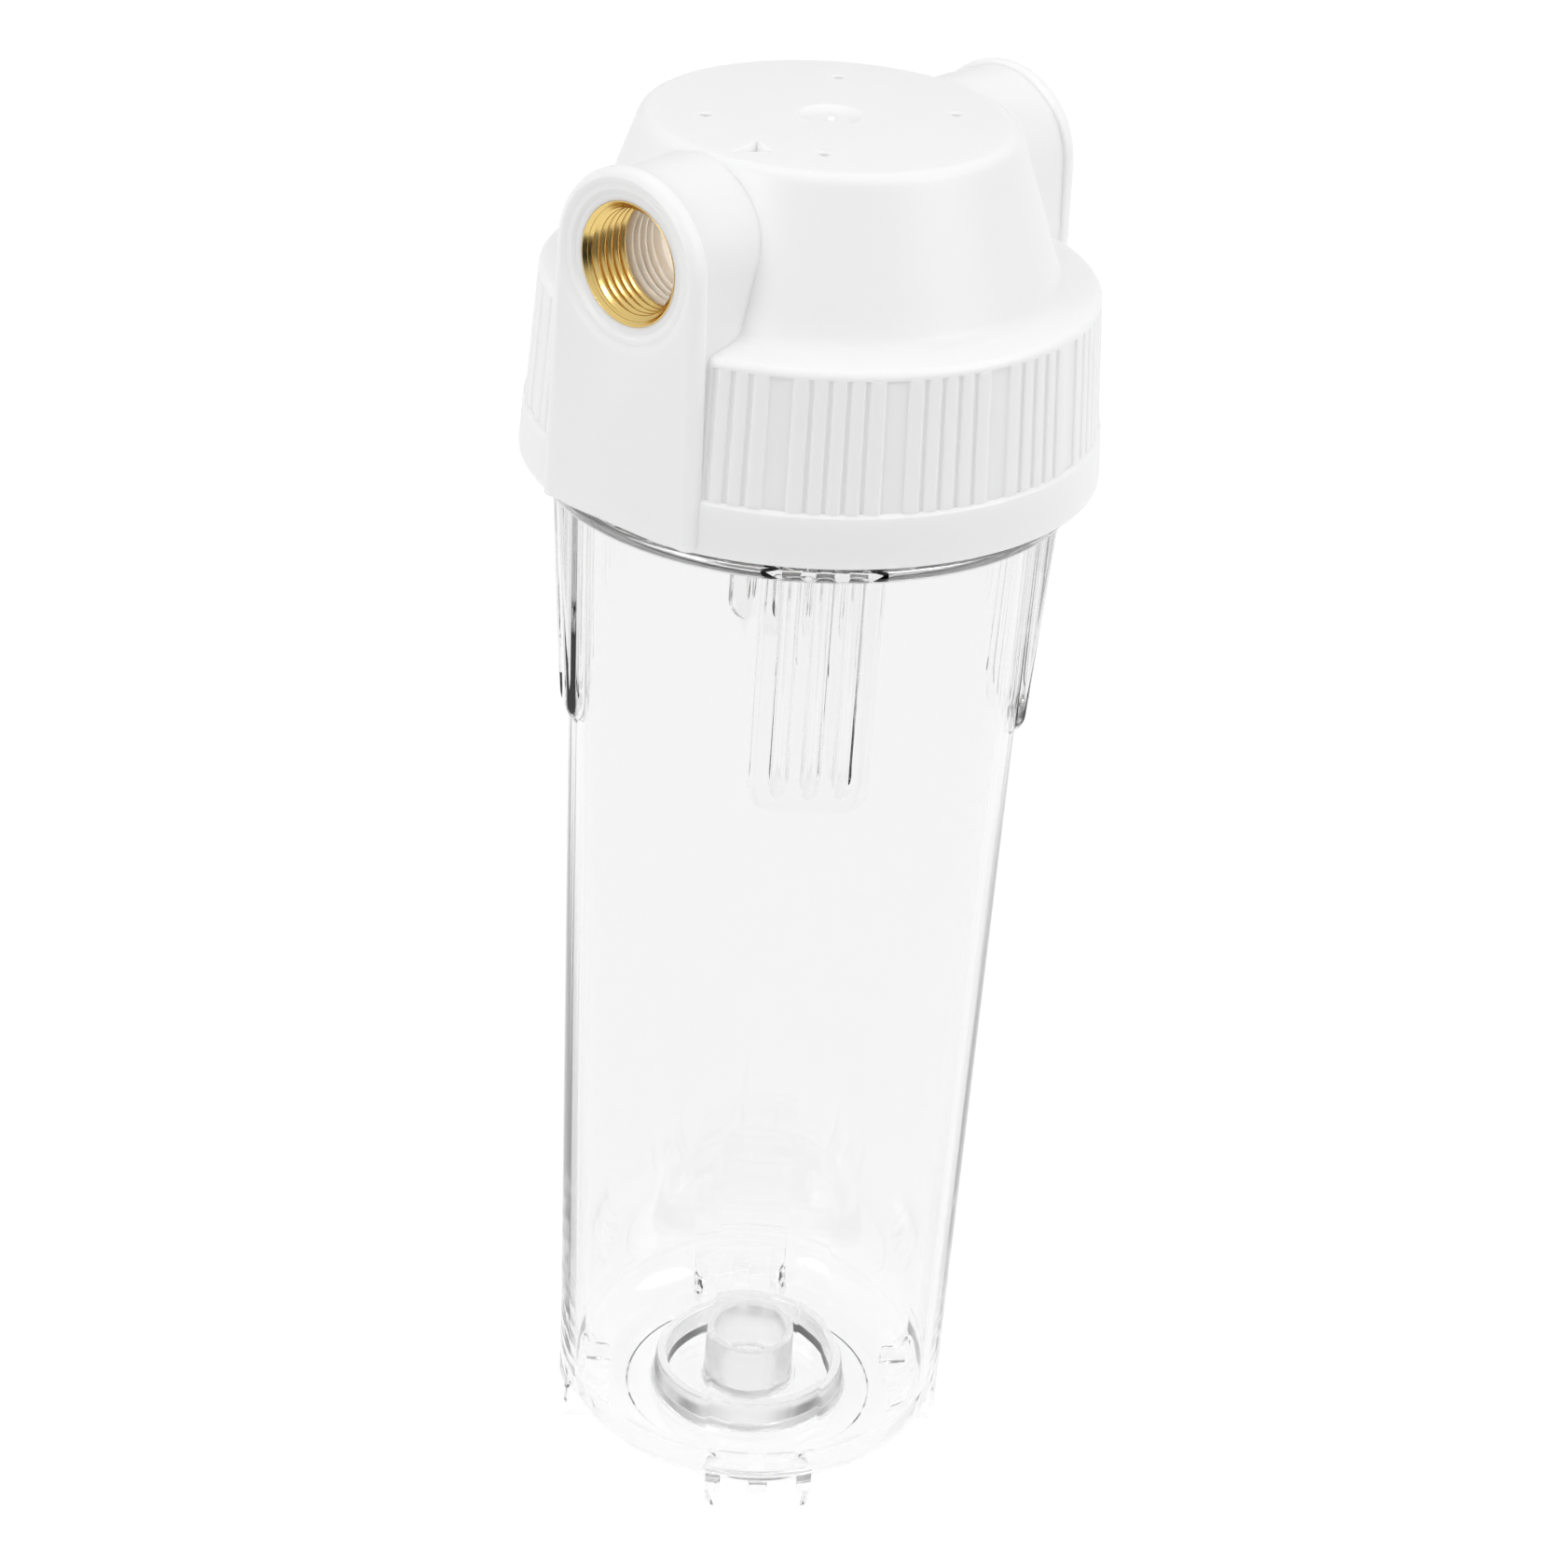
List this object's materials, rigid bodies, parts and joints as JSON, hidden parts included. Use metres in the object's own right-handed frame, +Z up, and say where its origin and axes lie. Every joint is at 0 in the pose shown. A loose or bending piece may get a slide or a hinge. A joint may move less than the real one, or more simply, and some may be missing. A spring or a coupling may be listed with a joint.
{
  "type": "sediment filter housing",
  "caption": "Clear-bowl inline water filter housing, empty: white ribbed screw-on head with brass-lined side ports over a clear tapered bowl with grip pads and feet.",
  "frame": {"origin": "centre of the bowl's four feet, on the surface that it stands on", "axes": "+Z up along the axis of the bowl and head, X through both ports with the inlet at -X and the outlet at +X, Y across the ports"},
  "size_m": [0.1154, 0.1182, 0.308],
  "materials": {
    "head_white": "satin injection-moulded white polypropylene",
    "port_brass": "bright machined brass",
    "seal_rubber": "matt moulded nitrile",
    "bowl_clear": "clear polished injection-moulded styrene acrylonitrile"
  },
  "bodies": {
    "bowl": {"sump": "bowl_clear"},
    "seal": {"sump_o_ring": "seal_rubber"},
    "head": {"head_cap": "head_white", "inlet_brass_insert": "port_brass", "outlet_brass_insert": "port_brass"}
  },
  "joints": [
    {"name": "cap_turn", "type": "hinge", "parent": "bowl", "child": "seal", "pos_m": [0, 0, 0.2585], "axis": [0, 0, 1], "range_deg": [0, 864]},
    {"name": "cap_lift", "type": "slide", "parent": "seal", "child": "head", "axis": [0, 0, 1], "range_m": [0, 0.012]}
  ],
  "couplings": [
    {"joint": "cap_lift", "follows": "cap_turn", "m_per_rad": 0.00079577}
  ]
}
